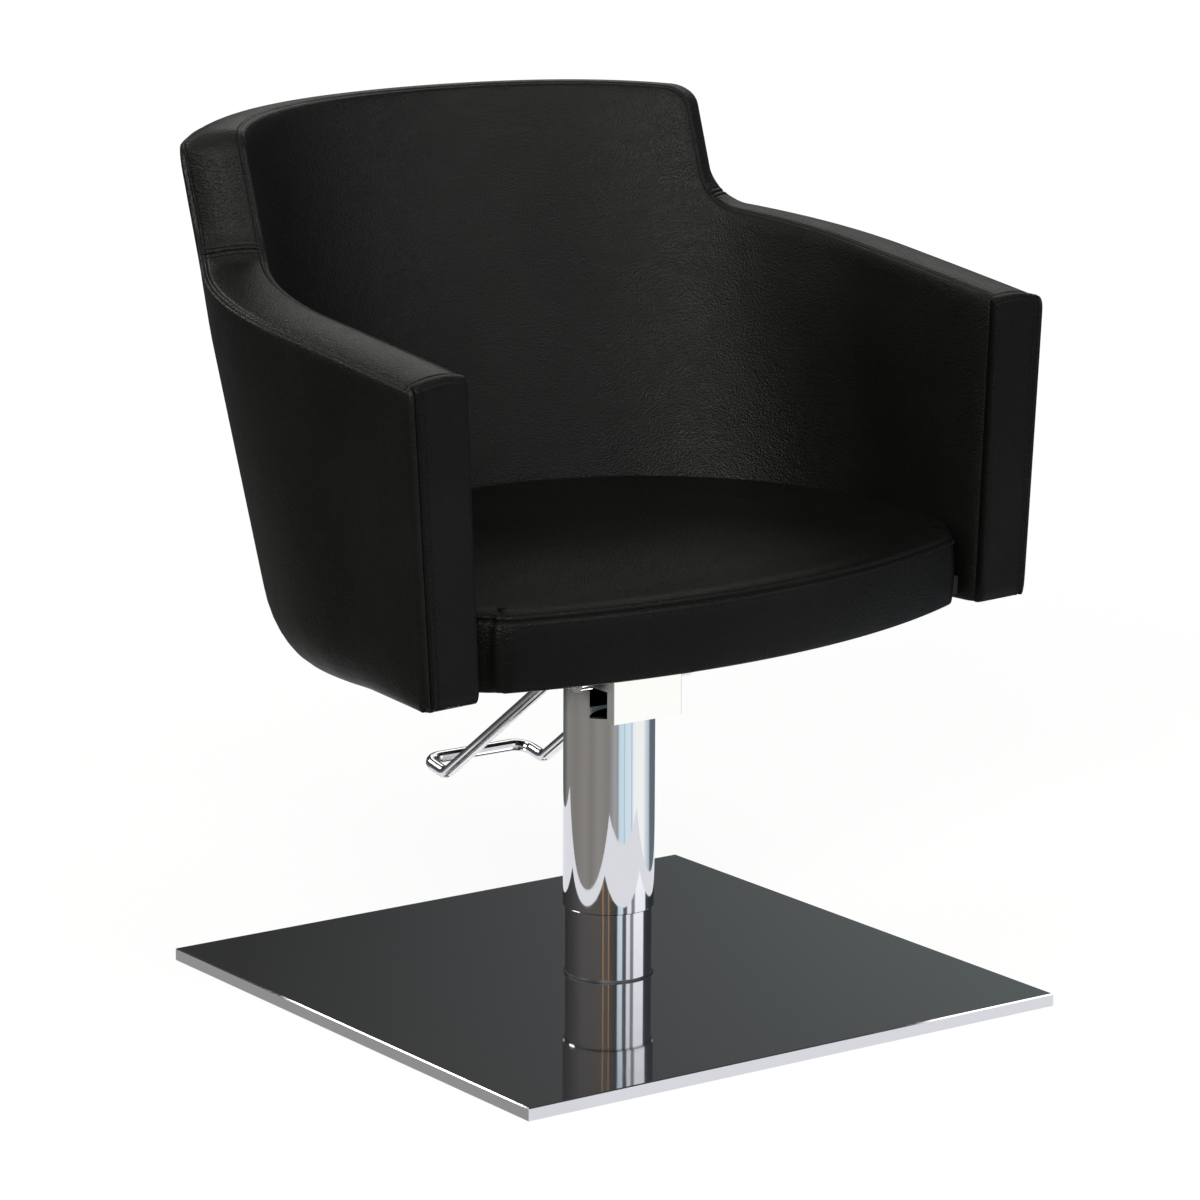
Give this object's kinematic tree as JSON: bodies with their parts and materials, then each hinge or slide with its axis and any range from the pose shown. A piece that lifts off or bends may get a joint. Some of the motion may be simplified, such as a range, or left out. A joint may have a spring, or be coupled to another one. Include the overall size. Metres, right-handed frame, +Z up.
{
  "type": "hairdressing chair",
  "caption": "Upholstered tub-shaped hairdressing chair on a hydraulic column with a foot pedal and a flat square polished base.",
  "frame": {"origin": "on the floor, on the vertical axis of the column, in the middle of the base's underside", "axes": "+Z up; the seat faces -Y; +X is the sitter's left-hand side; the base, the column head and the foot pedal are turned 6 degrees clockwise under the seat, as pictured"},
  "size_m": [0.7206, 0.6399, 0.7578],
  "materials": {
    "polished_steel": "mirror polished",
    "steel": "satin",
    "leatherette": "semi-matt, fine pebble grain, stitched seams",
    "rubber": "matt",
    "bronze": "satin",
    "black_paint": "satin",
    "plywood": "raw"
  },
  "bodies": {
    "base": {"base_mat": "rubber", "base_core": "steel", "base_cover": "polished_steel", "foot_screws": "steel", "cylinder_foot": "steel", "pump_cylinder": "steel", "guide_tube": "polished_steel", "cylinder_gland": "bronze", "wiper_seal": "rubber"},
    "column_head": {"ram": "steel", "piston": "steel", "piston_seal": "rubber", "sleeve": "polished_steel", "pump_head": "polished_steel", "front_housing": "polished_steel", "housing_screws": "steel", "thrust_washer": "bronze", "plunger_spring": "steel", "spindle_ring": "steel"},
    "plunger": {"pump_plunger": "steel"},
    "foot_lever": {"foot_lever": "polished_steel", "lever_shaft": "polished_steel", "lever_cam": "steel", "shaft_screws": "steel"},
    "seat": {"seat_bracket": "black_paint", "bracket_bolts": "steel", "seat_board": "plywood", "seat_cushion": "leatherette", "shell_frame": "plywood", "shell_bolts": "steel", "inner_pad": "leatherette", "outer_panel": "leatherette", "back_rim": "leatherette", "left_arm_rim": "leatherette", "right_arm_rim": "leatherette", "left_arm_facing": "leatherette", "right_arm_facing": "leatherette"}
  },
  "joints": [
    {"name": "lift", "type": "slide", "parent": "base", "child": "column_head", "axis": [0, 0, 1], "range_m": [0, 0.15]},
    {"name": "swivel", "type": "hinge", "parent": "column_head", "child": "seat", "pos_m": [0, 0, 0.3], "axis": [0, 0, 1], "continuous": true},
    {"name": "pedal", "type": "hinge", "parent": "column_head", "child": "foot_lever", "pos_m": [-0.00345, -0.03282, 0.2865], "axis": [-0.9945, 0.1045, 0], "range_deg": [0, 18], "stiffness_Nm_per_rad": 4, "springref_deg": -28.65},
    {"name": "plunger_slide", "type": "slide", "parent": "column_head", "child": "plunger", "axis": [0, 0, 1], "range_m": [-0.006, 0], "deforming": ["plunger_spring"]}
  ],
  "couplings": [
    {"joint": "plunger_slide", "follows": "pedal", "m_per_rad": -0.0182}
  ]
}
